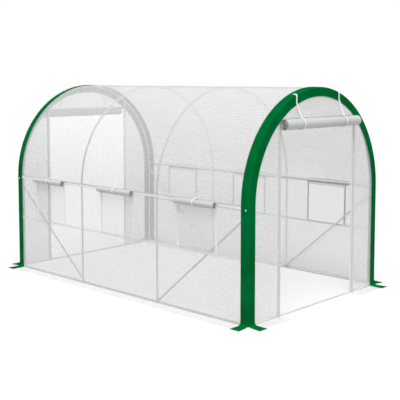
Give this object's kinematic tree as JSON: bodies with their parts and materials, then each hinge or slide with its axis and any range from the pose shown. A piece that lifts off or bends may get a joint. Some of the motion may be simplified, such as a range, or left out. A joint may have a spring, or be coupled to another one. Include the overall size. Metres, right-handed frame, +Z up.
{
  "type": "polytunnel greenhouse",
  "caption": "Walk-in polytunnel greenhouse: tube hoops under a translucent cover with green edge bands, rolled-up doors at both ends and netted windows with rolled-up flaps on both sides.",
  "frame": {"origin": "on the ground at the middle of the plan", "axes": "+Y along the tunnel from the front door to the back door, +X to the right seen from the front, +Z up"},
  "size_m": [2.28, 3.63, 2.0218],
  "materials": {
    "frame_tube": "satin",
    "cover_film": "translucent",
    "edge_band": "woven",
    "window_net": "net",
    "tape": "woven"
  },
  "bodies": {
    "root": {"front_hoop": "frame_tube", "middle_hoops": "frame_tube", "back_hoop": "frame_tube", "ridge_rail": "frame_tube", "left_shoulder_rail": "frame_tube", "right_shoulder_rail": "frame_tube", "left_ground_rail": "frame_tube", "right_ground_rail": "frame_tube", "front_sill": "frame_tube", "back_sill": "frame_tube", "front_door_posts": "frame_tube", "back_door_posts": "frame_tube", "left_braces": "frame_tube", "right_braces": "frame_tube", "roof_cover": "cover_film", "left_window_panel": "cover_film", "right_window_panel": "cover_film", "left_lower_panel": "cover_film", "right_lower_panel": "cover_film", "front_wall": "cover_film", "back_wall": "cover_film", "left_ground_flap": "cover_film", "right_ground_flap": "cover_film", "front_ground_flaps": "cover_film", "back_ground_flaps": "cover_film", "left_window_rolls": "cover_film", "right_window_rolls": "cover_film", "front_door_roll": "cover_film", "back_door_roll": "cover_film", "front_edge_band": "edge_band", "back_edge_band": "edge_band", "front_corner_tabs": "edge_band", "back_corner_tabs": "edge_band", "left_window_nets": "window_net", "right_window_nets": "window_net", "left_wall_tapes": "tape", "right_wall_tapes": "tape", "left_roll_loops": "tape", "right_roll_loops": "tape", "front_door_zip": "tape", "back_door_zip": "tape", "front_door_ties": "tape", "back_door_ties": "tape"}
  },
  "joints": []
}
